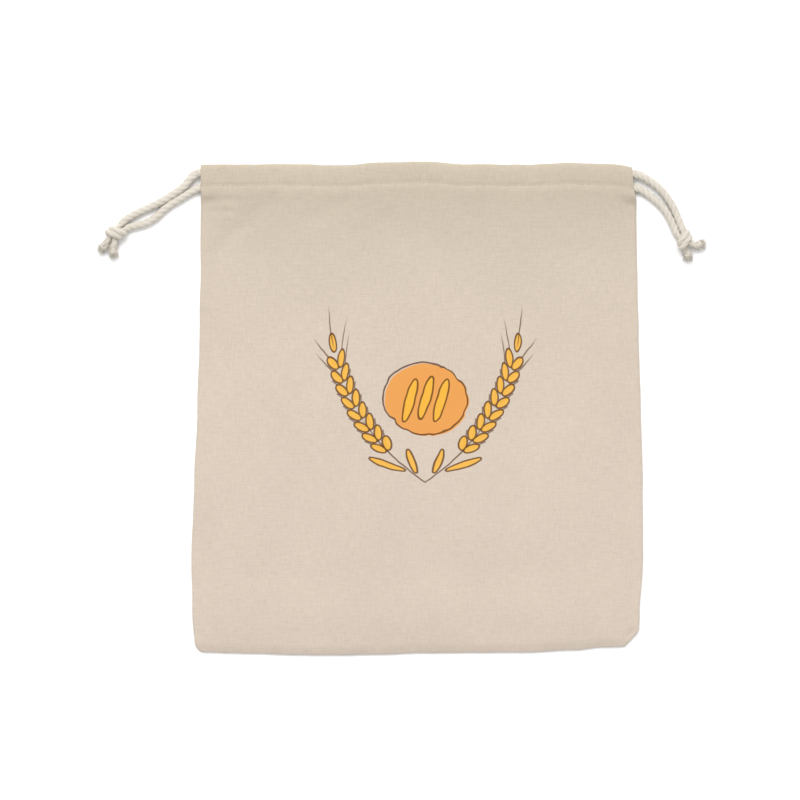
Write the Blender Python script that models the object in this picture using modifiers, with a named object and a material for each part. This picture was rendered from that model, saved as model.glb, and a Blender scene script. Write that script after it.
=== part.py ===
"""Linen bread bag lying flat: two sewn panels, a cord casing along the mouth, two cords tied at each side."""
import math

import bmesh
import bpy
from mathutils import Vector

# Driving dimensions, in metres. X runs across the bag, +Y towards the mouth, +Z up from where it lies.
SHEET = 0.001              # one ply of the cloth
GAP = 0.0003               # clear space between the panels where they lie on each other
CORD_GAP = 0.0004          # clear space under the back cord
CORD_D = 0.004             # soft cotton drawcord
CORD_R = CORD_D / 2
FRONT_CORD_DOWN = 0.0046   # front mouth edge to the middle of the front cord
BACK_CORD_DOWN = 0.0138    # front mouth edge to the middle of the back cord
FRONT_CORD_Z = 0.0056
BACK_CORD_Z = SHEET + CORD_GAP + CORD_R

CORNER_R = 0.006           # bottom left corner's radius
CORNER_CUT = (0.0080, 0.0095)  # bottom right corner, tucked in: width and height of the slanted stretch
PILLOW = 0.0009            # how far the front panel stands up in the middle
SEAM_RISE = 0.0006         # ridge over the seam allowances inside the side seams
SEAM_BAND = 0.006          # width of those allowances
SEAM_SLOPE = 0.002         # width over which that ridge rises
EDGE_COLUMNS = (0.0, 0.0015, 0.004, 0.007, 0.011)  # distances of the outer mesh columns from a side edge
MIDDLE_COLUMNS = 13        # mesh columns between those of the two sides
CORNER_ROWS = (0.0, 0.002, 0.0045, 0.0095)  # heights of the lowest mesh rows above the bottom edge
BODY_ROWS = {"front": 13, "back": 7}        # mesh rows from there up to the casing
CASING_SAMPLES = 17        # mesh rows over the cord, round the mouth fold and down the hem
CORD_STEP = 0.007          # spacing of the points along a cord
CURVE_SAMPLES = 40         # samples per point when a cord's curve is measured

# The side edges at heights up the bag: y, left edge x, right edge x.
SIDES = [
    (-0.154, -0.1386, 0.1372),
    (-0.127, -0.1402, 0.1390),
    (-0.095, -0.1410, 0.1410),
    (-0.046, -0.1393, 0.1408),
    (0.000, -0.1373, 0.1396),
    (0.046, -0.1359, 0.1383),
    (0.090, -0.1352, 0.1373),
    (0.128, -0.1350, 0.1369),
    (0.139, -0.1351, 0.1345),
    (0.154, -0.1351, 0.1340),
]

# The bottom and mouth edges at places across the bag: x, bottom edge y, front mouth edge y.
ENDS = [
    (-0.141, -0.1519, 0.1519),
    (-0.105, -0.1530, 0.1523),
    (-0.073, -0.1539, 0.1524),
    (-0.048, -0.1540, 0.1517),
    (-0.023, -0.1535, 0.1536),
    (0.003, -0.1526, 0.1540),
    (0.034, -0.1524, 0.1523),
    (0.068, -0.1523, 0.1521),
    (0.098, -0.1508, 0.1533),
    (0.118, -0.1490, 0.1525),
    (0.141, -0.1482, 0.1500),
]

# The front panel's section at its casing, from the body over the cord, round the mouth fold and back down the
# hem: distance below the front mouth edge, height of the middle of the cloth. The stitch line is at 0.0125.
FRONT_SECTION = [
    (0.0200, 0.0056),
    (0.0160, 0.0086),
    (0.0125, 0.0096),
    (0.0085, 0.0093),
    (0.0046, 0.0087),
    (0.0023, 0.0080),
    (0.0008, 0.0066),
    (0.0005, 0.0048),
    (0.0010, 0.0031),
    (0.0027, 0.0019),
    (0.0054, 0.0018),
    (0.0089, 0.0060),
    (0.0120, 0.0082),
    (0.0145, 0.0079),
]

# The same for the back panel, also measured below the front mouth edge. Its stitch line is at 0.0200.
BACK_SECTION = [
    (0.0200, 0.0005),
    (0.0160, 0.0005),
    (0.0130, 0.0005),
    (0.0110, 0.0005),
    (0.0092, 0.0010),
    (0.0085, 0.0025),
    (0.0093, 0.0042),
    (0.0112, 0.0058),
    (0.0138, 0.0065),
    (0.0168, 0.0052),
    (0.0200, 0.0018),
    (0.0230, 0.0018),
]
RAMP = 0.030               # length of the front panel's slope below the casing
FRONT_LOW = SHEET / 2 + SHEET + GAP  # height of the front panel's middle where it lies on the back panel

# Places across the bag that a cord's run through its casing passes.
RUN_X = (-0.126, -0.095, -0.064, -0.032, 0.0, 0.032, 0.064, 0.095, 0.126)

# Free ends of the cords, from the casing to the knot: x, y, z.
TAILS = {
    ("front", "left"): [
        (-0.1379, 0.1466, 0.0056), (-0.1413, 0.1433, 0.0054), (-0.1446, 0.1391, 0.0052),
        (-0.1488, 0.1357, 0.0049), (-0.1540, 0.1322, 0.0045), (-0.1592, 0.1291, 0.0039),
        (-0.1644, 0.1265, 0.0031), (-0.1698, 0.1240, 0.0025), (-0.1752, 0.1215, 0.0021),
        (-0.18107, 0.1182, 0.0021), (-0.18445, 0.11505, 0.0021),
    ],
    ("back", "left"): [
        (-0.1347, 0.1380, 0.0033), (-0.1390, 0.1361, 0.0031), (-0.1438, 0.1333, 0.0025),
        (-0.1488, 0.1302, 0.0021), (-0.1540, 0.1270, 0.0021), (-0.1588, 0.1232, 0.0021),
        (-0.1632, 0.1190, 0.0021), (-0.1687, 0.1158, 0.0021), (-0.1741, 0.1142, 0.0021),
        (-0.1786, 0.1132, 0.0021), (-0.18155, 0.11175, 0.0021),
    ],
    ("front", "right"): [
        (0.1362, 0.1461, 0.0056), (0.1399, 0.1448, 0.0054), (0.1434, 0.1427, 0.0052),
        (0.1472, 0.1402, 0.0048), (0.1512, 0.1369, 0.0043), (0.1547, 0.1330, 0.0038),
        (0.1590, 0.1268, 0.0030), (0.1615, 0.1216, 0.0024), (0.1635, 0.1165, 0.0021),
        (0.16555, 0.1112, 0.0021),
    ],
    ("back", "right"): [
        (0.1347, 0.1380, 0.0033), (0.1391, 0.1365, 0.0031), (0.1436, 0.1337, 0.0025),
        (0.1487, 0.1297, 0.0021), (0.1528, 0.1258, 0.0021), (0.1560, 0.1214, 0.0021),
        (0.1588, 0.1160, 0.0021), (0.16165, 0.1092, 0.0021),
    ],
}

# The knots: neck point, direction away from the bag, and where the two cut ends reach (x, y).
KNOTS = {
    "left": ((-0.1830, 0.1134), (-0.75, -0.66), [(-0.1962, 0.1000), (-0.1893, 0.0968)]),
    "right": ((0.1636, 0.1102), (0.45, -0.89), [(0.1770, 0.1022), (0.1688, 0.0950)]),
}
KNOT_RADII = (0.0070, 0.0060, 0.0042)  # along the knot's direction, across it, and up
KNOT_CENTRE = 0.0060       # from the flat neck face to the middle of the knot
NECK_GAP = 0.0006          # cords' ends to that face
END_R = 0.0021             # cut ends of the cords past the knot
END_ROOT_Z = 0.0032        # height at which those ends leave the knot's middle
STUB_SIDES = 10            # sides of a cut end
KNOT_MESH = (14, 9)        # segments round the knot and from end to end

LINEN = "#DACCBA"
COTTON = "#D8D2C6"


def between(low, high, part):
    return low + (high - low) * part


def ease(part):
    part = min(max(part, 0.0), 1.0)
    return part * part * (3 - 2 * part)


def table_value(table, at, column):
    """Smoothly interpolated value of a table's column, whose first column holds the places."""
    for lower, upper in zip(table, table[1:]):
        if at <= upper[0]:
            break
    part = min(max((at - lower[0]) / (upper[0] - lower[0]), 0.0), 1.0)
    return between(lower[column], upper[column], ease(part))


def curve_through(points, count):
    """Evenly indexed points of a Catmull-Rom curve through the given ones."""
    points = [Vector(point) for point in points]
    ends = [2 * points[0] - points[1]] + points + [2 * points[-1] - points[-2]]
    samples = []
    for index in range(count):
        along = index * (len(points) - 1) / (count - 1)
        first = min(int(along), len(points) - 2)
        part = along - first
        before, start, end, after = ends[first:first + 4]
        samples.append(0.5 * (2 * start + (end - before) * part
                              + (2 * before - 5 * start + 4 * end - after) * part ** 2
                              + (3 * start - before - 3 * end + after) * part ** 3))
    return samples


def evenly_spaced(points, step):
    """Points at equal distances along a smooth curve through the given ones."""
    fine = curve_through(points, CURVE_SAMPLES * len(points))
    lengths = [0.0]
    for first, second in zip(fine, fine[1:]):
        lengths.append(lengths[-1] + (second - first).length)
    count = max(2, round(lengths[-1] / step) + 1)
    spaced = []
    index = 0
    for number in range(count):
        wanted = lengths[-1] * number / (count - 1)
        while index < len(fine) - 2 and lengths[index + 1] < wanted:
            index += 1
        part = (wanted - lengths[index]) / (lengths[index + 1] - lengths[index])
        spaced.append(fine[index].lerp(fine[index + 1], part))
    return spaced


def material(name, hex_colour, roughness):
    def linear(value):
        return value / 12.92 if value <= 0.04045 else ((value + 0.055) / 1.055) ** 2.4

    made = bpy.data.materials.new(name)
    made.use_nodes = True
    shader = made.node_tree.nodes["Principled BSDF"]
    channels = [linear(int(hex_colour[index:index + 2], 16) / 255) for index in (1, 3, 5)]
    shader.inputs["Base Color"].default_value = (*channels, 1.0)
    shader.inputs["Roughness"].default_value = roughness
    shader.inputs["Metallic"].default_value = 0.0
    return made


def place(name, data, finish):
    item = bpy.data.objects.new(name, data)
    item.data.materials.append(finish)
    bag_pieces.objects.link(item)
    return item


def corner_inset(height):
    """How far the side edges draw in at a height above the bottom edge: left, right."""
    left = 0.0
    if height < CORNER_R:
        left = CORNER_R - math.sqrt(CORNER_R ** 2 - (CORNER_R - height) ** 2)
    width, tall = CORNER_CUT
    right = width * max(0.0, 1 - height / tall)
    return left, right


def column_x(column, y, bottom_height):
    """Place across the bag of a mesh column, counted from the left, at a height up the bag."""
    inset_left, inset_right = corner_inset(bottom_height)
    left = table_value(SIDES, y, 1) + inset_left
    right = table_value(SIDES, y, 2) - inset_right
    edge = len(EDGE_COLUMNS)
    last = 2 * edge + MIDDLE_COLUMNS - 1
    if column < edge:
        return left + EDGE_COLUMNS[column]
    if column > last - edge:
        return right - EDGE_COLUMNS[last - column]
    part = (column - edge + 1) / (MIDDLE_COLUMNS + 1)
    return between(left + EDGE_COLUMNS[-1], right - EDGE_COLUMNS[-1], part)


def body_height(side, x, y, left, right):
    """Height of the cloth's middle below the casing."""
    if side == "back":
        return BACK_SECTION[0][1]
    casing_low = table_value(ENDS, x, 2) - FRONT_SECTION[0][0]
    slope = ease(1 - (casing_low - y) / RAMP) ** 2 * (FRONT_SECTION[0][1] - FRONT_LOW)
    across = (x - left) / (right - left)
    crown = PILLOW * math.sin(math.pi * min(max(across, 0.0), 1.0)) * ease((y - SIDES[0][0]) / RAMP)
    from_edge = min(x - left, right - x)
    ridge = SEAM_RISE * ease(from_edge / SEAM_SLOPE) * ease(2 - from_edge / SEAM_BAND)
    return FRONT_LOW + slope + crown + ridge * ease((casing_low - y) / RAMP)


def make_panel(side, section):
    """One panel: body, casing over its cord, mouth fold and hem, as a single bent sheet."""
    columns = 2 * len(EDGE_COLUMNS) + MIDDLE_COLUMNS
    bent = curve_through([(down, height, 0) for down, height in section], CASING_SAMPLES)
    body_rows = BODY_ROWS[side]
    rows = len(CORNER_ROWS) + body_rows + CASING_SAMPLES - 1
    sheet = bmesh.new()
    bmesh.ops.create_grid(sheet, x_segments=columns - 1, y_segments=rows - 1, size=0.5)
    for vertex in sheet.verts:
        column = round((vertex.co.x + 0.5) * (columns - 1))
        row = round((vertex.co.y + 0.5) * (rows - 1))
        x = column_x(column, 0.0, CORNER_ROWS[-1])
        for _ in range(3):  # x and y depend on each other
            bottom = table_value(ENDS, x, 1)
            mouth = table_value(ENDS, x, 2)
            casing_low = mouth - section[0][0]
            over_body = row - len(CORNER_ROWS) + 1
            if over_body <= 0:
                bottom_height = CORNER_ROWS[row]
                y = bottom + bottom_height
            elif over_body < body_rows:
                start = bottom + CORNER_ROWS[-1]
                y = between(start, casing_low, math.sin(math.pi / 2 * over_body / body_rows))
                bottom_height = y - bottom
            else:
                y = mouth - bent[over_body - body_rows].x
                bottom_height = y - bottom
            x = column_x(column, y, bottom_height)
        left = column_x(0, y, bottom_height)
        right = column_x(columns - 1, y, bottom_height)
        if over_body < body_rows:
            z = body_height(side, x, y, left, right)
        else:
            z = max(bent[over_body - body_rows].y, SHEET / 2)
        vertex.co = (x, y, z)
    mesh = bpy.data.meshes.new(side + "_panel")
    sheet.to_mesh(mesh)
    sheet.free()
    panel = place(side + "_panel", mesh, linen)
    thickness = panel.modifiers.new("Cloth thickness", "SOLIDIFY")
    thickness.thickness = SHEET
    thickness.offset = 0.0
    thickness.use_even_offset = True
    return panel


def make_cord(side, down, height):
    """One drawcord: free end, run through its casing, and free end at the other side."""
    def run_point(x):
        return (x, table_value(ENDS, x, 2) - down, height)

    run = [run_point(x) for x in RUN_X]
    route = TAILS[side, "left"][::-1] + run + TAILS[side, "right"]
    data = bpy.data.curves.new("cord_" + side, "CURVE")
    data.dimensions = "3D"
    data.bevel_depth = CORD_R
    data.bevel_resolution = 2
    data.use_fill_caps = True
    spline = data.splines.new("POLY")
    points = evenly_spaced(route, CORD_STEP)
    spline.points.add(len(points) - 1)
    for target, point in zip(spline.points, points):
        target.co = (*point, 1.0)
    return place("cord_" + side, data, cotton)


def joined(target, cutter, operation):
    change = target.modifiers.new(operation.title(), "BOOLEAN")
    change.operation = operation
    change.object = cutter
    cutter.hide_render = True
    cutter.display_type = "WIRE"


def make_knot(side):
    """The overhand knot of both cords, with a flat neck face towards them and two splayed cut ends."""
    neck, direction, ends = KNOTS[side]
    forward = Vector((*direction, 0.0)).normalized()
    middle = Vector((*neck, KNOT_RADII[2])) + forward * (NECK_GAP + KNOT_CENTRE)
    ball = bmesh.new()
    bmesh.ops.create_uvsphere(ball, u_segments=KNOT_MESH[0], v_segments=KNOT_MESH[1], radius=1.0)
    for vertex in ball.verts:
        along, across, up = (value * radius for value, radius in zip(vertex.co, KNOT_RADII))
        vertex.co = (along, across, up)
    cut = bmesh.ops.bisect_plane(ball, geom=ball.verts[:] + ball.edges[:] + ball.faces[:],
                                 plane_co=(-KNOT_CENTRE, 0, 0), plane_no=(-1, 0, 0), clear_outer=True)
    rim = [item for item in cut["geom_cut"] if isinstance(item, bmesh.types.BMEdge)]
    bmesh.ops.contextual_create(ball, geom=rim)
    bmesh.ops.rotate(ball, verts=ball.verts, cent=(0, 0, 0),
                     matrix=Vector((1, 0, 0)).rotation_difference(forward).to_matrix())
    bmesh.ops.translate(ball, verts=ball.verts, vec=middle)
    mesh = bpy.data.meshes.new("knot_" + side)
    ball.to_mesh(mesh)
    ball.free()
    knot = place("knot_" + side, mesh, cotton)
    for number, end in enumerate(ends):
        tip = Vector((*end, END_R + GAP))
        root = Vector((middle.x, middle.y, END_ROOT_Z))
        length = (tip - root).length
        stub = bmesh.new()
        bmesh.ops.create_cone(stub, cap_ends=True, segments=STUB_SIDES,
                              radius1=END_R, radius2=END_R, depth=length)
        lean = Vector((0, 0, 1)).rotation_difference(tip - root).to_matrix()
        bmesh.ops.rotate(stub, verts=stub.verts, cent=(0, 0, 0), matrix=lean)
        bmesh.ops.translate(stub, verts=stub.verts, vec=(tip + root) / 2)
        stub_mesh = bpy.data.meshes.new("end")
        stub.to_mesh(stub_mesh)
        stub.free()
        cutter = bpy.data.objects.new(f"end_{side}_{number + 1}", stub_mesh)
        cutters.objects.link(cutter)
        joined(knot, cutter, "UNION")
    return knot


for item in list(bpy.data.objects):
    bpy.data.objects.remove(item, do_unlink=True)
bag_pieces = bpy.data.collections.new("Linen bread bag")
cutters = bpy.data.collections.new("Cutters")
bpy.context.scene.collection.children.link(bag_pieces)
bpy.context.scene.collection.children.link(cutters)
linen = material("Linen cloth", LINEN, 0.9)
cotton = material("Cotton cord", COTTON, 0.85)

make_panel("back", BACK_SECTION)
make_panel("front", FRONT_SECTION)
make_cord("back", BACK_CORD_DOWN, BACK_CORD_Z)
make_cord("front", FRONT_CORD_DOWN, FRONT_CORD_Z)
make_knot("left")
make_knot("right")
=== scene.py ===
"""The looks of a linen bread bag lying flat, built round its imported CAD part."""
import math

import bmesh
import bpy
import numpy as np
from mathutils import Matrix, Vector, noise


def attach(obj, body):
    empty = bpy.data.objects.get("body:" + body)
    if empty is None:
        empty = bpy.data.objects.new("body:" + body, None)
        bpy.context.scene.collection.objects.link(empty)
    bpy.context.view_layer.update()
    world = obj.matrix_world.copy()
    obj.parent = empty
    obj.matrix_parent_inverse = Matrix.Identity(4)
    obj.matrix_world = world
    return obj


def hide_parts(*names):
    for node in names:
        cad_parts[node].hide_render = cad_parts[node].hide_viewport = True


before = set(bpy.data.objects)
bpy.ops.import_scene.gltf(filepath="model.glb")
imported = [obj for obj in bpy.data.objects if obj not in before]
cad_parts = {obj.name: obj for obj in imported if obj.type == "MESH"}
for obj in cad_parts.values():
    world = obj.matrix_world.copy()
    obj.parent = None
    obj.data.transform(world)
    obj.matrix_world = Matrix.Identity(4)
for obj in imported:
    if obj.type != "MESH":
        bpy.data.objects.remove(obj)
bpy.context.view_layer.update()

bl_info = {
    "name": "Linen bread bag",
    "version": (1, 0, 0),
    "blender": (4, 5, 0),
    "location": "3D View > Sidebar > Bread bag",
    "description": "Makes a flat-lying linen drawstring bag: cloth, stitches, cords, knots and a stage",
    "category": "Add Mesh",
}

CLOTH_UV = "flat_cloth"
CORD_UV = "along_cord"
# Mesh attribute: how deep each point of a cord lies between its plies, which the cord's material turns into
# painted shade.
CREVICE = "between_plies"

# ---------------------------------------------------------------------------------------------------------
# The bag's outline and routes, in metres. X runs across the bag, +Y towards the mouth, +Z up.

# Side edges at heights up the bag: y, left x, right x.
SIDES = [
    (-0.154, -0.1386, 0.1372),
    (-0.127, -0.1402, 0.1390),
    (-0.095, -0.1410, 0.1410),
    (-0.046, -0.1393, 0.1408),
    (0.000, -0.1373, 0.1396),
    (0.046, -0.1359, 0.1383),
    (0.090, -0.1352, 0.1373),
    (0.128, -0.1350, 0.1369),
    (0.139, -0.1351, 0.1345),
    (0.154, -0.1351, 0.1340),
]

# Bottom and front mouth edges at places across the bag: x, bottom y, mouth y.
ENDS = [
    (-0.141, -0.1519, 0.1519),
    (-0.105, -0.1530, 0.1523),
    (-0.073, -0.1539, 0.1524),
    (-0.048, -0.1540, 0.1517),
    (-0.023, -0.1535, 0.1536),
    (0.003, -0.1526, 0.1540),
    (0.034, -0.1524, 0.1523),
    (0.068, -0.1523, 0.1521),
    (0.098, -0.1508, 0.1533),
    (0.118, -0.1490, 0.1525),
    (0.141, -0.1482, 0.1500),
]
LEFT_CORNER_R = 0.006      # rounded bottom left corner
RIGHT_CORNER = (0.0080, 0.0095)  # width and height of the slanted bottom right corner

# Middle of the front cloth at the casing: distance below the mouth edge, height. It comes up the slope of the
# body, dips at the stitch line, passes over the cord, turns round the mouth fold and goes back as the hem.
FRONT_SECTION = [
    (0.0550, 0.00125),
    (0.0480, 0.00150),
    (0.0410, 0.00190),
    (0.0340, 0.00250),
    (0.0280, 0.00315),
    (0.0230, 0.00375),
    (0.0195, 0.00422),
    (0.0170, 0.00448),
    (0.0148, 0.00442),
    (0.0130, 0.00408),
    (0.0112, 0.00446),
    (0.0085, 0.00462),
    (0.0065, 0.00462),
    (0.0046, 0.00450),
    (0.0027, 0.00420),
    (0.0012, 0.00360),
    (0.0004, 0.00265),
    (0.0009, 0.00175),
    (0.0026, 0.00120),
    (0.0050, 0.00125),
    (0.0076, 0.00220),
    (0.0096, 0.00325),
    (0.0120, 0.00370),
    (0.0145, 0.00374),
]
FRONT_STITCH_DOWN = 0.0130

# The same for the back cloth, which reaches 8 mm less high. Its distances are below the front mouth edge too.
BACK_SECTION = [
    (0.0300, 0.00030),
    (0.0200, 0.00030),
    (0.0140, 0.00030),
    (0.0110, 0.00032),
    (0.0093, 0.00050),
    (0.0085, 0.00115),
    (0.0089, 0.00200),
    (0.0110, 0.00285),
    (0.0138, 0.00315),
    (0.0168, 0.00240),
    (0.0198, 0.00110),
    (0.0230, 0.00092),
]
BACK_STITCH_DOWN = 0.0200

# The cords' runs through the casings: distance of the middle below the front mouth edge, height.
RUNS = {"front": (0.0046, 0.00285), "back": (0.0138, 0.00175)}
RUN_X = (-0.126, -0.095, -0.064, -0.032, 0.0, 0.032, 0.064, 0.095, 0.126)

# The cords' free ends, from the casing to the knot: x, y, z.
TAILS = {
    ("front", "left"): [
        (-0.1379, 0.1466, 0.0029), (-0.1413, 0.1433, 0.0029), (-0.1446, 0.1391, 0.0028),
        (-0.1488, 0.1357, 0.0027), (-0.1540, 0.1322, 0.0026), (-0.1592, 0.1291, 0.0024),
        (-0.1644, 0.1265, 0.0022), (-0.1698, 0.1240, 0.0021), (-0.1752, 0.1215, 0.0021),
        (-0.18107, 0.1182, 0.0021), (-0.18445, 0.11505, 0.0023),
    ],
    ("back", "left"): [
        (-0.1347, 0.1380, 0.0020), (-0.1390, 0.1361, 0.0020), (-0.1438, 0.1333, 0.0020),
        (-0.1488, 0.1302, 0.0020), (-0.1540, 0.1270, 0.0020), (-0.1588, 0.1232, 0.0020),
        (-0.1632, 0.1190, 0.0020), (-0.1687, 0.1158, 0.0020), (-0.1741, 0.1142, 0.0020),
        (-0.1786, 0.1132, 0.0021), (-0.18155, 0.11175, 0.0023),
    ],
    ("front", "right"): [
        (0.1362, 0.1461, 0.0029), (0.1399, 0.1448, 0.0029), (0.1434, 0.1427, 0.0028),
        (0.1472, 0.1402, 0.0027), (0.1512, 0.1369, 0.0026), (0.1547, 0.1330, 0.0024),
        (0.1590, 0.1268, 0.0021), (0.1615, 0.1216, 0.0021), (0.1635, 0.1165, 0.0021),
        (0.16555, 0.1112, 0.0023),
    ],
    ("back", "right"): [
        (0.1347, 0.1380, 0.0020), (0.1391, 0.1365, 0.0020), (0.1436, 0.1337, 0.0020),
        (0.1487, 0.1297, 0.0020), (0.1528, 0.1258, 0.0020), (0.1560, 0.1214, 0.0020),
        (0.1588, 0.1160, 0.0021), (0.16165, 0.1092, 0.0023),
    ],
}

# The knots: neck point, direction away from the bag, and where the two cut ends reach (x, y).
KNOTS = {
    "left": ((-0.1830, 0.1134), (-0.75, -0.66), [(-0.1962, 0.1000), (-0.1893, 0.0968)]),
    "right": ((0.1636, 0.1102), (0.45, -0.89), [(0.1770, 0.1022), (0.1688, 0.0950)]),
}

# Creases of the front cloth: depth (a ridge is negative), half width, then points x, y.
CREASES = [
    (0.00085, 0.0060, [(-0.0876, 0.1321), (-0.1013, 0.1207), (-0.1157, 0.1083),
                       (-0.1251, 0.0915), (-0.1263, 0.0646)]),
    (0.00051, 0.0050, [(-0.0732, 0.1165), (-0.0576, 0.1227), (-0.0357, 0.1333)]),
    (0.00051, 0.0060, [(-0.0200, 0.1250), (-0.0150, 0.1120), (-0.0120, 0.0980)]),
    (0.00042, 0.0022, [(-0.1320, 0.1296), (-0.1190, 0.1300), (-0.1080, 0.1290)]),
    (0.00037, 0.0020, [(-0.1310, 0.1227), (-0.1210, 0.1230), (-0.1120, 0.1222)]),
    (0.00059, 0.0022, [(0.1365, -0.1375), (0.1330, -0.1405), (0.1290, -0.1440)]),
    (0.00031, 0.0022, [(0.1325, 0.1300), (0.1322, 0.1050), (0.1316, 0.0620)]),
    (0.00051, 0.0020, [(-0.1226, 0.1500), (-0.1222, 0.1460), (-0.1224, 0.1415)]),
    (0.00037, 0.0018, [(-0.0882, 0.1490), (-0.0886, 0.1440), (-0.0880, 0.1400)]),
    (-0.00042, 0.0030, [(-0.0975, 0.1415), (-0.0930, 0.1400), (-0.0885, 0.1340)]),
    (0.00034, 0.0018, [(-0.0153, 0.1500), (-0.0150, 0.1460), (-0.0156, 0.1415)]),
    (0.00058, 0.0018, [(0.0041, 0.1530), (0.0044, 0.1470), (0.0038, 0.1410)]),
    (0.00037, 0.0020, [(0.0424, 0.1500), (0.0428, 0.1450), (0.0420, 0.1405)]),
    (0.00027, 0.0100, [(0.0900, 0.1200), (0.1000, 0.0600), (0.0920, 0.0050)]),
    (0.00024, 0.0120, [(-0.1000, 0.0200), (-0.0850, -0.0500), (-0.0950, -0.1100)]),
]


# ---------------------------------------------------------------------------------------------------------
# Settings


def linear_colour(hex_colour):
    """An sRGB hex colour as linear red, green and blue."""
    values = [int(hex_colour[index:index + 2], 16) / 255 for index in (1, 3, 5)]
    return tuple(v / 12.92 if v <= 0.04045 else ((v + 0.055) / 1.055) ** 2.4 for v in values)


def colour_setting(name, description, hex_colour):
    return bpy.props.FloatVectorProperty(
        name=name, description=description, subtype="COLOR", size=3, min=0, max=1,
        default=linear_colour(hex_colour))


class BagClothSettings(bpy.types.PropertyGroup):
    """Sizes and colours of the two cloth panels"""

    thickness: bpy.props.FloatProperty(
        name="Thickness", description="Thickness of one ply of the cloth",
        default=0.00055, min=0.0002, max=0.001, unit="LENGTH", precision=5)
    grid_step: bpy.props.FloatProperty(
        name="Mesh spacing", description="Distance between mesh lines in the middle of the cloth",
        default=0.00165, min=0.001, max=0.01, unit="LENGTH", precision=5)
    wave_height: bpy.props.FloatProperty(
        name="Wave height", description="Height of the broad soft waves of the front cloth",
        default=0.00075, min=0.0, max=0.002, unit="LENGTH", precision=5)
    thread_spacing: bpy.props.FloatProperty(
        name="Thread spacing", description="Distance between neighbouring threads of the weave, as drawn",
        default=0.00075, min=0.0003, max=0.003, unit="LENGTH", precision=5)
    linen: colour_setting("Linen", "Colour of the unbleached cloth", "#C6B8AA")
    flax: colour_setting("Flax", "Darker colour of the slubs and specks of flax in it", "#A8916F")


class BagPrintSettings(bpy.types.PropertyGroup):
    """Place and inks of the print on the front"""

    centre: bpy.props.FloatVectorProperty(
        name="Centre", description="Middle of the print, across and up the bag",
        size=2, unit="LENGTH", precision=4, default=(0.005, 0.004))
    line: bpy.props.FloatProperty(
        name="Line width", description="Width of the drawn lines",
        default=0.0011, min=0.0003, max=0.004, unit="LENGTH", precision=5)
    line_ink: colour_setting("Line ink", "Dark brown ink of the drawn lines", "#55300F")
    crust_ink: colour_setting("Crust ink", "Orange-brown ink of the loaf", "#D8903C")
    grain_ink: colour_setting("Grain ink", "Golden ink of the wheat and of the cuts in the loaf", "#E0A838")


class BagCordSettings(bpy.types.PropertyGroup):
    """Sizes and colours of the drawcords and of the sewing thread"""

    diameter: bpy.props.FloatProperty(
        name="Cord diameter", description="Diameter of the soft cotton drawcord",
        default=0.004, min=0.002, max=0.008, unit="LENGTH", precision=4)
    ply_pitch: bpy.props.FloatProperty(
        name="Ply pitch", description="Length of cord in which its three plies make one whole turn",
        default=0.013, min=0.004, max=0.05, unit="LENGTH", precision=4)
    cotton: colour_setting("Cotton", "Colour of the cotton cord", "#CCC5B9")
    stitch_pitch: bpy.props.FloatProperty(
        name="Stitch pitch", description="Distance from one stitch to the next",
        default=0.0030, min=0.001, max=0.01, unit="LENGTH", precision=4)
    stitch_length: bpy.props.FloatProperty(
        name="Stitch length", description="Length of thread that shows in one stitch",
        default=0.0024, min=0.0005, max=0.01, unit="LENGTH", precision=4)
    thread: bpy.props.FloatProperty(
        name="Thread width", description="Width of the sewing thread",
        default=0.00042, min=0.0001, max=0.002, unit="LENGTH", precision=5)
    thread_colour: colour_setting("Thread", "Colour of the sewing thread", "#B9AB97")


class BagStageSettings(bpy.types.PropertyGroup):
    """Floor, light and camera"""

    camera_centre: bpy.props.FloatVectorProperty(
        name="Camera place", description="Point on the floor that the camera looks straight down on",
        size=2, unit="LENGTH", precision=4, default=(-0.0107, 0.0052))
    view_width: bpy.props.FloatProperty(
        name="View width", description="Width of the floor that the camera sees",
        default=0.5, min=0.1, max=3, unit="LENGTH", precision=3)
    lens: bpy.props.FloatProperty(
        name="Lens", description="Focal length of the camera", default=85.0, min=20, max=200, unit="CAMERA")
    key_power: bpy.props.FloatProperty(
        name="Softbox power", description="Power of the large softbox beyond the mouth of the bag",
        default=36.0, min=0, max=500, unit="POWER")
    sky: bpy.props.FloatProperty(
        name="Room light", description="Strength of the even light from all round",
        default=0.80, min=0, max=3)
    floor: colour_setting("Floor", "Colour of the plain pale floor", "#FAFAFA")


# ---------------------------------------------------------------------------------------------------------
# Curves, tables and noise


def ease(part):
    """Smooth step of a number or array, 0 below 0 and 1 above 1."""
    part = np.clip(part, 0.0, 1.0)
    return part * part * (3 - 2 * part)


def table_curve(table, at, column):
    """Smoothly interpolated values of a table's column, whose first column holds the places."""
    rows = np.array(table)
    index = np.clip(np.searchsorted(rows[:, 0], at) - 1, 0, len(rows) - 2)
    part = ease((at - rows[index, 0]) / (rows[index + 1, 0] - rows[index, 0]))
    return rows[index, column] + (rows[index + 1, column] - rows[index, column]) * part


def smooth_route(points, step):
    """Points about a step apart on a Catmull-Rom curve through the given ones."""
    points = np.array(points, float)
    ends = np.vstack([2 * points[0] - points[1], points, 2 * points[-1] - points[-2]])
    part = np.linspace(0, 1, 24, endpoint=False)[:, None]
    spans = []
    for before, start, end, after in zip(ends, ends[1:], ends[2:], ends[3:]):
        spans.append(0.5 * (2 * start + (end - before) * part
                            + (2 * before - 5 * start + 4 * end - after) * part ** 2
                            + (3 * start - before - 3 * end + after) * part ** 3))
    fine = np.vstack(spans + [points[-1:]])
    length = np.concatenate([[0], np.cumsum(np.linalg.norm(np.diff(fine, axis=0), axis=1))])
    wanted = np.linspace(0, length[-1], max(2, round(length[-1] / step) + 1))
    return np.stack([np.interp(wanted, length, fine[:, axis]) for axis in range(points.shape[1])], axis=1)


def route_length(route):
    return float(np.linalg.norm(np.diff(np.array(route), axis=0), axis=1).sum())


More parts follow.
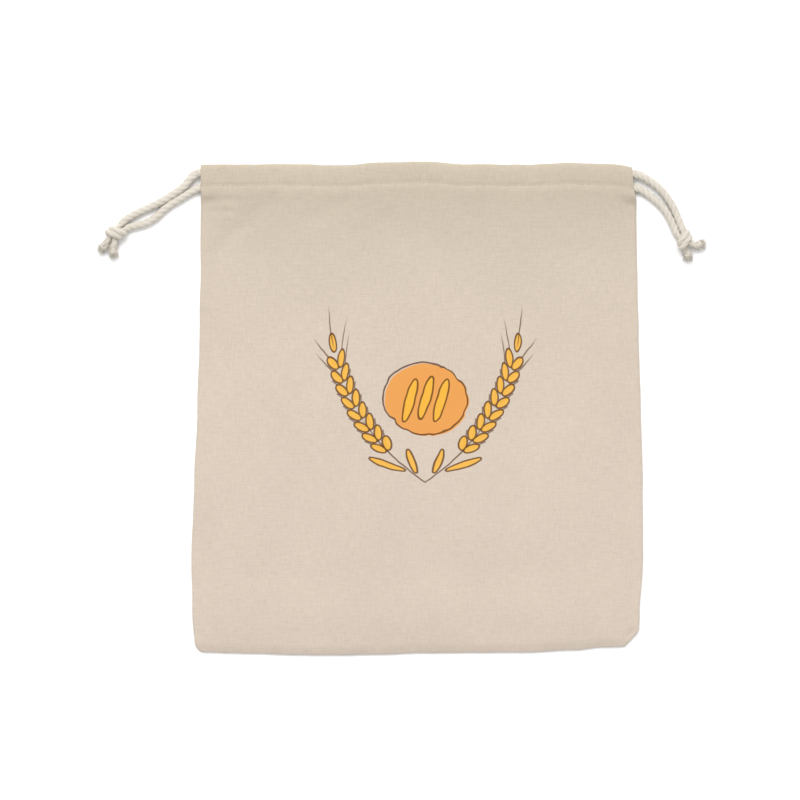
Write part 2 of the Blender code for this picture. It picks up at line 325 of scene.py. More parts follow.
def ripple(x, y, across, along, seed):
    """Smooth random values from about -1 to 1, with features of the given sizes across and along the bag."""
    values = [noise.noise(Vector((a / across, b / along, seed))) for a, b in zip(np.ravel(x), np.ravel(y))]
    return np.reshape(values, np.shape(x))


# ---------------------------------------------------------------------------------------------------------
# Cloth

SEAM_Z = {"front": 0.00112, "back": 0.00109}  # where the two panels meet along the sewn edges
FOLD_R = 0.0009            # radius of the fold over those edges
NEAR_EDGE = (0.0018, 0.0027, 0.0038, 0.0051, 0.0066, 0.0082, 0.0100)  # mesh lines beside an edge
SEAM_BAND = 0.0066         # width of the seam allowances that show as a ridge at the sides
BOTTOM_FADE = 0.034        # height over which the fullness along the bottom fades upwards
BOTTOM_ROLL = 0.0065       # height of the rounded roll at the bottom edge
STITCH_BAND = 0.0045       # how far the stitches' puckers reach
TUCK_DOWN, TUCK_BAND = 0.016, 0.011  # the casing's gathers: how far below the mouth edge, and their reach
FLAT_TOP = 0.0016          # cloth beside the side edges, below the casing, lies no higher than this
CROWN = 0.0005             # fullness of the front cloth's middle
CRUMPLE = 0.00006          # height of its small unevenness
SIDE_RIDGE = 0.0005
BOTTOM_RIDGE = 0.00135
PUCKERS = 0.00034
TUCKS = 0.0005
# Broad waves of the front cloth: share of the wave height, size across, size along, seed.
WAVES = [(0.55, 0.085, 0.110, 1.3), (0.40, 0.036, 0.050, 4.1), (0.16, 0.017, 0.020, 7.7)]
WAVE_LIFT = 0.35           # the waves' middle stands this share of their height above the cloth's own
CASING_DEPTH = 0.020       # the side seams end here, below the mouth edge, and the casing's ends are open


def edge_lines(thickness):
    """Mesh lines beside a sewn edge: distance from the edge, and share of the rise round its fold."""
    turns = [math.pi / 2 * part for part in (0, 0.14, 0.3, 0.48, 0.7, 1)]
    lines = [(thickness / 2 + FOLD_R * (1 - math.cos(turn)), math.sin(turn)) for turn in turns]
    return lines + [(distance, 1.0) for distance in NEAR_EDGE]


def corner_inset(height):
    """How far the side edges draw in at a height above the bottom edge: left, right."""
    low = np.clip(LEFT_CORNER_R - height, 0, LEFT_CORNER_R)
    left = LEFT_CORNER_R - np.sqrt(LEFT_CORNER_R ** 2 - low ** 2)
    width, tall = RIGHT_CORNER
    return left, width * np.clip(1 - height / tall, 0, 1)


def crease_depth(x, y, points, half_width):
    """Share of a crease's depth at each place: 1 along its middle, fading to the sides and to its ends."""
    line = smooth_route(points, 0.003)
    nearest = np.full(np.shape(x), np.inf)
    along = np.zeros(np.shape(x))
    for index, (start, end) in enumerate(zip(line, line[1:])):
        step = end - start
        part = np.clip(((x - start[0]) * step[0] + (y - start[1]) * step[1]) / (step @ step), 0, 1)
        distance = np.hypot(x - start[0] - part * step[0], y - start[1] - part * step[1])
        closer = distance < nearest
        nearest = np.where(closer, distance, nearest)
        along = np.where(closer, (index + part) / (len(line) - 1), along)
    return np.sqrt(np.sin(math.pi * np.clip(along, 0, 1))) * np.exp(-(nearest / half_width) ** 2)


def front_relief(x, y, from_side, from_bottom, down, wave_height):
    """Height that waves, seam allowances, creases and puckers add to the front cloth."""
    inside = ease(from_side / 0.018) * ease(from_bottom / 0.020)
    body = inside * ease((down - 0.022) / 0.030)
    waves = sum(share * ripple(x, y, across, along, seed) for share, across, along, seed in WAVES)
    relief = CROWN * inside * ease(down / 0.12) + wave_height * body * (waves + WAVE_LIFT)
    at_edge = ease(from_side / 0.004) * ease(from_bottom / 0.004)
    relief += CRUMPLE * ripple(x, y, 0.0085, 0.0095, 2.9) * at_edge
    side_ridge = SIDE_RIDGE * ease(from_side / 0.0018) * ease(1.5 - from_side / SEAM_BAND)
    side_ridge *= 1 + 0.25 * ripple(x, y, 0.02, 0.022, 5.5)
    bottom_ridge = BOTTOM_RIDGE * ease(from_bottom / BOTTOM_ROLL) ** 0.6
    bottom_ridge *= ease(1.6 - from_bottom / BOTTOM_FADE)
    bottom_ridge *= 1 + 0.3 * ripple(x, y, 0.02, 0.02, 8.5)
    relief += np.maximum(side_ridge, bottom_ridge)
    below_stitches = (down - FRONT_STITCH_DOWN) / STITCH_BAND
    relief += PUCKERS * np.exp(-below_stitches ** 2) * ripple(x, y, 0.0034, 0.012, 6.2)
    relief += TUCKS * np.exp(-((down - TUCK_DOWN) / TUCK_BAND) ** 2) * ripple(x, y, 0.0105, 0.035, 9.4)
    for depth, half_width, points in CREASES:
        relief = relief - depth * crease_depth(x, y, points, half_width)
    return relief


def panel_grid(side, cloth):
    """Places (rows, columns, xyz) of the middle of one panel, and of the same points on the flat cloth."""
    section = {"front": FRONT_SECTION, "back": BACK_SECTION}[side]
    step = cloth.grid_step if side == "front" else cloth.grid_step * 1.6
    lines = edge_lines(cloth.thickness)
    inset, risen = np.array(lines).T
    width = SIDES[3][2] - SIDES[3][1]
    middle = round((width - 2 * inset[-1]) / step) - 1
    part = (np.arange(middle) + 1) / (middle + 1)

    # Every column is a share of the width plus a distance from the side edges.
    share = np.concatenate([np.zeros(len(inset)), part, np.ones(len(inset))])
    shift = np.concatenate([inset, inset[-1] * (1 - 2 * part), -inset[::-1]])
    column_rise = np.concatenate([risen, np.ones(middle), risen[::-1]])

    # Every body row is a share of the height plus a distance from the bottom; casing rows follow the section.
    height = ENDS[3][2] - section[0][0] - ENDS[3][1]
    body = round((height - inset[-1]) / step)
    up = np.concatenate([np.zeros(len(inset)), (np.arange(body - 1) + 1) / body])
    raise_by = np.concatenate([inset, inset[-1] * (1 - up[len(inset):])])
    row_rise = np.concatenate([risen, np.ones(body - 1)])
    bent = smooth_route(section, 0.00072 if side == "front" else 0.0011)
    row_rise = np.concatenate([row_rise, np.ones(len(bent))])[:, None]

    x = np.tile(SIDES[4][1] + share * width + shift, (len(row_rise), 1))
    for _ in range(4):  # x and y depend on each other
        bottom = table_curve(ENDS, x, 1) + 0.00018 * ripple(x, x * 0, 0.009, 1.0, 3.3)
        mouth = table_curve(ENDS, x, 2) + 0.00036 * ripple(x, x * 0, 0.011, 1.0, 1.7)
        start = mouth - section[0][0]
        rows_up = bottom[:len(up)] + up[:, None] * (start - bottom)[:len(up)] + raise_by[:, None]
        y = np.vstack([rows_up, mouth[len(up):] - bent[:, :1]])
        wobble = 0.00025 * ripple(y, y * 0, 0.016, 1.0, 2.4)
        inset_left, inset_right = corner_inset(y - bottom)
        left = table_curve(SIDES, y, 1) + inset_left + wobble
        right = table_curve(SIDES, y, 2) - inset_right + wobble[:, ::-1]
        x = left + share * (right - left) + shift

    down = mouth - y
    from_side = np.minimum(x - left, right - x)
    z = np.concatenate([np.full(len(up), section[0][1]), bent[:, 1]])[:, None] + 0 * x
    opening = ease((CASING_DEPTH - down) / 0.004)
    if side == "front":
        low = np.minimum(z, FLAT_TOP)
        below_casing = 1 - ease((CASING_DEPTH + 0.005 - down) / 0.007)
        z = z + (low - z) * (1 - ease(from_side / 0.015)) * below_casing
        z = z + front_relief(x, y, from_side, y - bottom, down, cloth.wave_height)
    column_rise = column_rise + (1 - column_rise) * opening
    z = SEAM_Z[side] + (z - SEAM_Z[side]) * column_rise * row_rise
    run = np.concatenate([[0], np.cumsum(np.linalg.norm(np.diff(bent, axis=0), axis=1))])
    v = np.vstack([y[:len(up)], start[len(up):] + run[:, None]])
    return np.stack([x, y, z], axis=2), np.stack([x, v], axis=2), down[:, len(share) // 2]


def make_panel(side, cloth, finish):
    """One panel as a thin sheet: body, casing, mouth fold and hem in one piece of cloth."""
    places, flat, _ = panel_grid(side, cloth)
    rows, columns = places.shape[:2]
    grid = bmesh.new()
    bmesh.ops.create_grid(grid, x_segments=columns - 1, y_segments=rows - 1, size=0.5)
    uv = grid.loops.layers.uv.new(CLOTH_UV)
    spots = {}
    for vertex in grid.verts:
        spot = round((vertex.co.y + 0.5) * (rows - 1)), round((vertex.co.x + 0.5) * (columns - 1))
        spots[vertex] = spot
        vertex.co = places[spot]
    for face in grid.faces:
        face.smooth = True
        for loop in face.loops:
            loop[uv].uv = flat[spots[loop.vert]]
    mesh = bpy.data.meshes.new(side + "_cloth")
    grid.to_mesh(mesh)
    grid.free()
    mesh.materials.append(finish)
    panel = bpy.data.objects.new(side + "_cloth", mesh)
    bpy.context.scene.collection.objects.link(panel)
    solid = panel.modifiers.new("Cloth thickness", "SOLIDIFY")
    solid.thickness = cloth.thickness
    solid.offset = 0.0
    solid.use_even_offset = True
    return panel


# ---------------------------------------------------------------------------------------------------------
# Cords

TABLE_GAP = 0.00005  # what lies on the table is pressed flat at this height
RING_STEP = 0.0004         # distance between a cord's mesh rings
RING_SIDES = 36
PLY = 0.4641               # radius of one ply, as a share of the cord's, where three of them touch
PLY_CENTRE = 1 - PLY


def cord_tube(route, radius, pitch, squash=1.0, phase=0.0, softness=0.78):
    """A three-ply cord along a route: points, faces, flat coordinates of their corners, and ply crevices."""
    route = np.array(route, float)
    count = len(route)
    radius = np.broadcast_to(radius, count)
    squash = np.broadcast_to(squash, count)
    tangent = np.gradient(route, axis=0)
    tangent /= np.linalg.norm(tangent, axis=1)[:, None]
    ups = []
    up = np.array([0.0, 0.0, 1.0]) if abs(tangent[0][2]) < 0.9 else np.array([1.0, 0.0, 0.0])
    for direction in tangent:
        up = up - direction * (up @ direction)
        up /= np.linalg.norm(up)
        ups.append(up)
    ups = np.array(ups)
    sides = np.cross(ups, tangent)
    length = np.concatenate([[0], np.cumsum(np.linalg.norm(np.diff(route, axis=0), axis=1))])
    angle = np.arange(RING_SIDES) * 2 * math.pi / RING_SIDES
    turned = angle[None, :] - 2 * math.pi * length[:, None] / pitch + phase
    off = (turned + math.pi / 3) % (2 * math.pi / 3) - math.pi / 3
    reach = PLY_CENTRE * np.cos(off) + np.sqrt(np.maximum(PLY ** 2 - (PLY_CENTRE * np.sin(off)) ** 2, 0))
    out = radius[:, None] * (1 - (1 - softness) * (1 - reach))
    wide, tall = 2 / (1 + squash), 2 * squash / (1 + squash)
    rings = (route[:, None] + (out * np.cos(angle) * wide[:, None])[..., None] * sides[:, None]
             + (out * np.sin(angle) * tall[:, None])[..., None] * ups[:, None])
    points = rings.reshape(-1, 3)
    first = route[0] - tangent[0] * radius[0] * 0.35
    last = route[-1] + tangent[-1] * radius[-1] * 0.35
    points = np.vstack([points, first, last])
    points[:, 2] = np.maximum(points[:, 2], TABLE_GAP)
    # How deep each point lies between the plies, used by the cord's material for painted shade.
    crevice = np.concatenate([(1 - reach).ravel(), [0, 0]])
    faces = []
    corners = []
    for ring in range(count - 1):
        for number in range(RING_SIDES):
            after = (number + 1) % RING_SIDES
            base, above = ring * RING_SIDES, (ring + 1) * RING_SIDES
            faces.append((base + number, base + after, above + after, above + number))
            round_face = (number, ring), (number + 1, ring), (number + 1, ring + 1), (number, ring + 1)
            for step, place in round_face:
                turn = step * 2 * math.pi / RING_SIDES - 2 * math.pi * length[place] / pitch + phase
                corners.append((turn * radius[place], length[place]))
    for number in range(RING_SIDES):
        after = (number + 1) % RING_SIDES
        top = (count - 1) * RING_SIDES
        faces.append((after, number, len(points) - 2))
        faces.append((top + number, top + after, len(points) - 1))
        corners += [(0, 0)] * 3 + [(0, length[-1])] * 3
    return points, faces, corners, crevice


def tubes_object(name, tubes, finish):
    """One mesh object of several cord tubes."""
    points, faces, corners, crevices, start = [], [], [], [], 0
    for tube_points, tube_faces, tube_corners, tube_crevices in tubes:
        points.append(tube_points)
        faces += [tuple(index + start for index in face) for face in tube_faces]
        corners += tube_corners
        crevices.append(tube_crevices)
        start += len(tube_points)
    mesh = bpy.data.meshes.new(name)
    mesh.from_pydata(np.vstack(points).tolist(), [], faces)
    mesh.polygons.foreach_set("use_smooth", [True] * len(faces))
    layer = mesh.uv_layers.new(name=CORD_UV)
    layer.data.foreach_set("uv", np.array(corners, np.float32).ravel())
    depth = mesh.attributes.new(CREVICE, "FLOAT", "POINT")
    depth.data.foreach_set("value", np.concatenate(crevices).astype(np.float32))
    mesh.materials.append(finish)
    made = bpy.data.objects.new(name, mesh)
    bpy.context.scene.collection.objects.link(made)
    return made


def knot_frame(side):
    """Neck point, direction away from the bag, and direction across it to the left, flat on the floor."""
    neck, direction, _ = KNOTS[side]
    forward = np.array([*direction, 0.0])
    forward /= np.linalg.norm(forward)
    return np.array([*neck, 0.0]), forward, np.array([-forward[1], forward[0], 0.0])


# The turns round the strands of a knot, in metres along it, across it and up.
WRAP_START, WRAP_STEP, WRAP_CLIMB, WRAP_SLANT = 0.0026, 0.0032, 0.0030, 0.0013
WRAP_MIDDLE, WRAP_WIDTH, WRAP_HEIGHT = 0.0040, 0.0037, 0.0021


def knot_strands(side, radius):
    """The overhand knot of both cords: the strands through it, two turns round them, and the cut ends."""
    neck, forward, across = knot_frame(side)

    def placed(local):
        local = np.array(local, float)
        return neck + local[:, :1] * forward + local[:, 1:2] * across + local[:, 2:] * np.array([0, 0, 1.0])

    strands = []
    ends = [np.array([*end, 0.0022]) - neck for end in KNOTS[side][2]]
    ends = sorted(((end @ forward, end @ across, end[2]) for end in ends), key=lambda end: end[1])
    for hand, end in zip((-1, 1), ends):
        route = [(-0.0012, hand * 0.0022, 0.0023), (0.0012, hand * 0.0020, 0.0026),
                 (0.0042, hand * 0.0013, 0.0034), (0.0078, hand * 0.0014, 0.0036),
                 (0.0112, end[1] * 0.35 + hand * 0.0012, 0.0030),
                 (end[0] * 0.62 + 0.0045, end[1] * 0.72, 0.0025), end]
        line = smooth_route(placed(route), RING_STEP)
        along = np.linspace(0, 1, len(line))
        swell = 1 - 0.16 * np.exp(-((along - 0.38) / 0.2) ** 2) + 0.34 * ease((along - 0.66) / 0.34) ** 2
        strands.append((line, radius * swell))
    turns = np.radians(np.linspace(-150, 215, 60))
    for number in range(2):
        tuck = 1 - 0.5 * ease((np.abs(np.degrees(turns) - 32) - 130) / 52)
        x = WRAP_START + WRAP_STEP * number + WRAP_CLIMB * (turns - turns[0]) / (2 * math.pi)
        x = x - WRAP_SLANT * np.cos(turns)
        y = WRAP_WIDTH * np.cos(turns) * tuck
        z = WRAP_MIDDLE + WRAP_HEIGHT * np.sin(turns) * tuck
        line = smooth_route(placed(np.stack([x, y, z], axis=1)), RING_STEP)
        strands.append((line, np.full(len(line), radius * 0.98)))
    return strands


# ---------------------------------------------------------------------------------------------------------
# Materials


def add(tree, kind, inputs=(), **settings):
    """Adds a node with its settings; inputs gives values, nodes or sockets by input name or number."""
    node = tree.nodes.new(kind)
    for name, value in settings.items():
        setattr(node, name, value)
    for name, value in dict(inputs).items():
        if isinstance(value, bpy.types.Node):
            value = value.outputs[0]
        if isinstance(value, bpy.types.NodeSocket):
            tree.links.new(value, node.inputs[name])
        else:
            node.inputs[name].default_value = value
    return node


def new_material(name, roughness):
    """A material with its Principled shader, whose rough matt surface has the given roughness."""
    made = bpy.data.materials.new(name)
    made.use_nodes = True
    shader = made.node_tree.nodes["Principled BSDF"]
    shader.inputs["Roughness"].default_value = roughness
    shader.inputs["Specular IOR Level"].default_value = 0.25
    return made, made.node_tree, shader


MID_GREY = (0.5, 0.5, 0.5)  # the middle of a noise texture's colours


def weave_height(tree, uv, spacing):
    """Height of a plain weave: threads up the cloth and across it pass over each other by turns."""
    wander = add(tree, "ShaderNodeTexNoise", {"Vector": uv, "Scale": 55.0, "Detail": 2.0})
    wander = wander.outputs["Color"]
    wander = add(tree, "ShaderNodeVectorMath", {0: wander, 1: MID_GREY}, operation="SUBTRACT")
    wander = add(tree, "ShaderNodeVectorMath", {0: wander, "Scale": 0.0022}, operation="SCALE")
    shifted = add(tree, "ShaderNodeVectorMath", {0: uv, 1: wander}, operation="ADD")
    turns = add(tree, "ShaderNodeVectorMath", {0: shifted, "Scale": math.pi / spacing}, operation="SCALE")
    waves = add(tree, "ShaderNodeVectorMath", {0: turns}, operation="SINE")
    both = add(tree, "ShaderNodeSeparateXYZ", {0: waves})
    sizes = add(tree, "ShaderNodeVectorMath", {0: waves}, operation="ABSOLUTE")
    sizes = add(tree, "ShaderNodeSeparateXYZ", {0: sizes})
    over = add(tree, "ShaderNodeMath", {0: both.outputs[0], 1: both.outputs[1]}, operation="MULTIPLY")
    warp = add(tree, "ShaderNodeMath", {0: sizes.outputs[0], 1: over}, operation="ADD")
    weft = add(tree, "ShaderNodeMath", {0: sizes.outputs[1], 1: over}, operation="SUBTRACT")
    top = add(tree, "ShaderNodeMath", {0: warp, 1: weft}, operation="MAXIMUM")
    return add(tree, "ShaderNodeMath", {0: top, 1: 0.5}, operation="MULTIPLY")


MOUTH_SHADE = (0.79, 0.81, 0.75)  # painted shade: what is left of the cloth's red, green and blue at the mouth, where the light falls off
CLOTH_ENDS = (-0.16, 0.165)   # bottom and top of the flat cloth


def linen_material(name, cloth, drawn=None):
    """Unbleached flax and cotton cloth in a plain weave: matt, oatmeal, with uneven threads and short slubs.

    The eye gets a fine cross-hatched grain of slightly lighter and darker thread, scattered ticks where a
    thread is thick, and a very soft cloudiness from handling. The real threads lie about 0.6 mm apart;
    they are drawn a little coarser so that they show."""
    made, tree, shader = new_material(name, 0.92)
    uv = add(tree, "ShaderNodeUVMap", uv_map=CLOTH_UV)
    height = weave_height(tree, uv, cloth.thread_spacing)
    tone = None
    # Streaks run along each thread: one stretch of tone is about a thread wide and 5 to 8 mm long.
    for stretch, amount in (((1100.0, 170.0, 1.0), 0.20), ((140.0, 1100.0, 1.0), 0.20)):
        along = add(tree, "ShaderNodeMapping", {"Vector": uv, "Scale": stretch})
        streak = {"Vector": along, "Scale": 1.0, "Detail": 2.0, "Roughness": 0.6}
        streak = add(tree, "ShaderNodeTexNoise", streak)
        centred = add(tree, "ShaderNodeMath", {0: streak, 1: 0.5}, operation="SUBTRACT")
        scaled = add(tree, "ShaderNodeMath", {0: centred, 1: amount}, operation="MULTIPLY")
        tone = scaled if tone is None else add(tree, "ShaderNodeMath", {0: tone, 1: scaled}, operation="ADD")
    cloud = add(tree, "ShaderNodeTexNoise", {"Vector": uv, "Scale": 18.0, "Detail": 3.0, "Roughness": 0.55})
    cloud = add(tree, "ShaderNodeMapRange", {"Value": cloud, 1: 0.3, 2: 0.7, 3: 0.975, 4: 1.022})
    shade = add(tree, "ShaderNodeMath", {0: tone, 1: 1.0}, operation="ADD")
    shade = add(tree, "ShaderNodeMath", {0: shade, 1: cloud}, operation="MULTIPLY")
    # Painted shade: the cloth is a little darker and yellower towards the mouth, where the light falls off.
    up = add(tree, "ShaderNodeSeparateXYZ", {0: uv})
    bottom, top = CLOTH_ENDS
    shade_towards_mouth = add(tree, "ShaderNodeMapRange", {"Value": up.outputs[1], 1: bottom, 2: top, 3: 0.0, 4: 1.0})
    shade_towards_mouth = add(tree, "ShaderNodeMath", {0: shade_towards_mouth, 1: 3.6}, operation="POWER")
    # Painted shade and light: the cloth is a little darker where the weave stands low, between the threads,
    # and a little lighter on their tops.
    crevice = add(tree, "ShaderNodeMapRange", {"Value": height, 1: 0.1, 2: 0.9, 3: 0.93, 4: 1.03})
    shade = add(tree, "ShaderNodeMath", {0: shade, 1: crevice}, operation="MULTIPLY")
    shaded_linen = [value * share for value, share in zip(cloth.linen, MOUTH_SHADE)]
    base = add(tree, "ShaderNodeMix", {0: shade_towards_mouth, 6: (*cloth.linen, 1), 7: (*shaded_linen, 1)}, data_type="RGBA")
    toned = add(tree, "ShaderNodeVectorMath", {0: base.outputs[2], "Scale": shade}, operation="SCALE")
    colour = toned.outputs[0]
    # Slubs: short darker stretches of single threads, both ways, and a few flax specks.
    slubs = [((1150.0, 210.0, 1.0), 0.665), ((210.0, 1150.0, 1.0), 0.665), ((430.0, 430.0, 1.0), 0.76)]
    for stretch, low in slubs:
        along = add(tree, "ShaderNodeMapping", {"Vector": uv, "Location": (low, 3.7, 0), "Scale": stretch})
        slub = add(tree, "ShaderNodeTexNoise", {"Vector": along, "Scale": 1.0, "Detail": 1.0})
        slub = add(tree, "ShaderNodeMapRange", {"Value": slub, 1: low, 2: low + 0.07, 3: 0.0, 4: 0.22})
        mixed = add(tree, "ShaderNodeMix", {0: slub, 6: colour, 7: (*cloth.flax, 1)}, data_type="RGBA")
        colour = mixed.outputs[2]
    if drawn:
        colour = bread_print(tree, uv, colour, height, drawn)
    tree.links.new(colour, shader.inputs["Base Color"])
    bumped = add(tree, "ShaderNodeBump", {"Height": height, "Strength": 0.35, "Distance": 0.00022})
    tree.links.new(bumped.outputs[0], shader.inputs["Normal"])
    shader.inputs["Sheen Weight"].default_value = 0.08
    return made


# The print, in millimetres from its middle: a round loaf between two ears of wheat. Each shape is an ellipse.
# Columns: where it is drawn, x, y, turn in degrees, half length, half width, ink, ink's strength, drawn line.
EAR = {"base": (3.0, -48.0), "lean": -33.0, "bow": 10.0, "length": 100.0,
       "grain_step": 8.6, "first": 30.0, "last_set": 3.0}
THIN_LINE = 0.35      # how far a stem's or awn's ink reaches past its thin ellipse
INK_BLUR = 0.18       # how far an ink's edge spreads into the threads
LINE_STRENGTH = 0.95
LOAF_CUTS = [(-9.5, 1.0), (0.5, 2.5), (10.0, 1.0)]
PRINT_SHAPES = [
    ("ear", 0.0, 17.0, 90.0, 17.5, 0.15, "line_ink", 0.9, False),
    ("ear", 6.8, 19.0, 62.0, 10.5, 2.1, "grain_ink", 1.0, True),
    ("ear", -5.6, 12.0, 118.0, 8.5, 1.8, "grain_ink", 1.0, True),
    ("even grains", 5.4, 5.9, 63.0, 5.4, 0.10, "line_ink", 0.8, False),
    ("odd grains", 5.4, 5.9, 63.0, 5.4, 0.10, "line_ink", 0.8, False),
    ("even grains", 3.1, 0.0, 62.0, 4.9, 2.35, "grain_ink", 1.0, True),
    ("odd grains", 3.1, 0.0, 62.0, 4.9, 2.35, "grain_ink", 1.0, True),
    ("ear", 0.0, 101.0, 90.0, 5.2, 2.3, "grain_ink", 1.0, True),
    ("ear", 0.0, 109.0, 90.0, 5.0, 0.12, "line_ink", 0.8, False),
    ("fill", 0.0, 2.0, -6.0, 26.5, 22.5, "crust_ink", 1.0, False),
    ("plain", 0.0, 2.0, -6.0, 26.5, 22.5, None, 0.0, True),
]


def bread_print(tree, uv, cloth_colour, height, drawn):
    """Screen print in three flat inks: a drawn line in dark brown over orange-brown and golden fills.

    The eye gets flat colour with soft uneven edges, lines that swell and thin as if drawn with a brush, fills
    that sit a little beside their lines, and cloth that shows through where the weave stands low."""
    centre = (*drawn.centre, 0.0)
    local = add(tree, "ShaderNodeVectorMath", {0: uv, 1: centre}, operation="SUBTRACT")
    local = add(tree, "ShaderNodeVectorMath", {0: local, "Scale": 1000.0}, operation="SCALE")
    hand = add(tree, "ShaderNodeTexNoise", {"Vector": local, "Scale": 0.10, "Detail": 1.0, "Roughness": 0.5})
    hand = add(tree, "ShaderNodeVectorMath", {0: hand.outputs["Color"], 1: MID_GREY}, operation="SUBTRACT")
    hand = add(tree, "ShaderNodeVectorMath", {0: hand, "Scale": 1.5}, operation="SCALE")
    plain = add(tree, "ShaderNodeVectorMath", {0: local, 1: hand}, operation="ADD")
    aside = add(tree, "ShaderNodeVectorMath", {0: plain, 1: (-1.1, 0.8, 0)}, operation="ADD")
    apart = add(tree, "ShaderNodeSeparateXYZ", {0: plain})
    beside = add(tree, "ShaderNodeMath", {0: apart.outputs[0]}, operation="ABSOLUTE")
    both = add(tree, "ShaderNodeCombineXYZ", {0: beside, 1: apart.outputs[1]})
    lean = math.radians(EAR["lean"])
    ear = {"Vector": both, "Location": (*EAR["base"], 0), "Rotation": (0, 0, lean)}
    ear = add(tree, "ShaderNodeMapping", ear, vector_type="TEXTURE")
    parts = add(tree, "ShaderNodeSeparateXYZ", {0: ear})
    rest = add(tree, "ShaderNodeMath", {0: EAR["length"], 1: parts.outputs[1]}, operation="SUBTRACT")
    bow = add(tree, "ShaderNodeMath", {0: parts.outputs[1], 1: rest}, operation="MULTIPLY")
    bend = 4 * EAR["bow"] / EAR["length"] ** 2
    bow = add(tree, "ShaderNodeMath", {0: bow, 1: bend}, operation="MULTIPLY")
    across = add(tree, "ShaderNodeMath", {0: parts.outputs[0], 1: bow}, operation="SUBTRACT")
    spaces = {"plain": plain, "fill": aside,
              "ear": add(tree, "ShaderNodeCombineXYZ", {0: across, 1: parts.outputs[1]})}
    # Grains stand in pairs on both sides of the stem. Neighbours overlap, so every other pair has its own set.
    double = 2 * EAR["grain_step"]
    for number, name in enumerate(("even grains", "odd grains")):
        start = EAR["first"] + number * EAR["grain_step"] - double / 2
        along = add(tree, "ShaderNodeMath", {0: parts.outputs[1], 1: start}, operation="SUBTRACT")
        turn = add(tree, "ShaderNodeMath", {0: along, 1: double}, operation="DIVIDE")
        turn = add(tree, "ShaderNodeMath", {0: turn}, operation="FLOOR")
        turn = add(tree, "ShaderNodeClamp", {0: turn, 1: 0.0, 2: EAR["last_set"]})
        turn = add(tree, "ShaderNodeMath", {0: turn, 1: double}, operation="MULTIPLY")
        within = add(tree, "ShaderNodeMath", {0: along, 1: turn}, operation="SUBTRACT")
        within = add(tree, "ShaderNodeMath", {0: within, 1: double / 2}, operation="SUBTRACT")
        side = add(tree, "ShaderNodeMath", {0: across}, operation="ABSOLUTE")
        spaces[name] = add(tree, "ShaderNodeCombineXYZ", {0: side, 1: within})

    shapes = list(PRINT_SHAPES)
    for x, y in LOAF_CUTS:
        shapes.append(("plain", x, y, 74.0, 14.0, 3.0, "grain_ink", 1.0, True))
    ink_wear = add(tree, "ShaderNodeMapRange", {"Value": height, 1: 0.05, 2: 0.6, 3: 0.72, 4: 0.97})
    half_line = drawn.line * 1000 / 2
    colour = cloth_colour
    for space, x, y, turn, long, wide, ink, strength, outlined in shapes:
        inside = add(tree, "ShaderNodeMapping", {
            "Vector": spaces[space], "Location": (x, y, 0), "Rotation": (0, 0, math.radians(turn)),
            "Scale": (long, wide, 1)}, vector_type="TEXTURE")
        ring = add(tree, "ShaderNodeVectorMath", {0: inside}, operation="LENGTH").outputs["Value"]
        # A value of the ellipse's formula becomes a distance when it is divided by how steeply it rises.
        steepness = (1 / long, 1 / wide, 0)
        steep = add(tree, "ShaderNodeVectorMath", {0: inside, 1: steepness}, operation="MULTIPLY")
        steep = add(tree, "ShaderNodeVectorMath", {0: steep}, operation="LENGTH").outputs["Value"]
        edge = add(tree, "ShaderNodeMath", {0: ring, 1: 1.0}, operation="SUBTRACT")
        edge = add(tree, "ShaderNodeMath", {0: edge, 1: ring}, operation="MULTIPLY")
        edge = add(tree, "ShaderNodeMath", {0: edge, 1: steep}, operation="DIVIDE")
        marks = []
        if ink:
            marks.append((edge, 0.0 if wide > 1 else THIN_LINE, getattr(drawn, ink), strength))
        if outlined:
            outline = add(tree, "ShaderNodeMath", {0: edge}, operation="ABSOLUTE")
            marks.append((outline, half_line, drawn.line_ink, LINE_STRENGTH))
        for distance, reach, paint, share in marks:
            limits = {1: reach + INK_BLUR, 2: reach - INK_BLUR, 3: 0.0, 4: share}
            limits["Value"] = distance
            mask = add(tree, "ShaderNodeMapRange", limits, interpolation_type="SMOOTHSTEP")
            mask = add(tree, "ShaderNodeMath", {0: mask, 1: ink_wear}, operation="MULTIPLY")
            mixed = add(tree, "ShaderNodeMix", {0: mask, 6: colour, 7: (*paint, 1)}, data_type="RGBA")
            colour = mixed.outputs[2]
    return colour


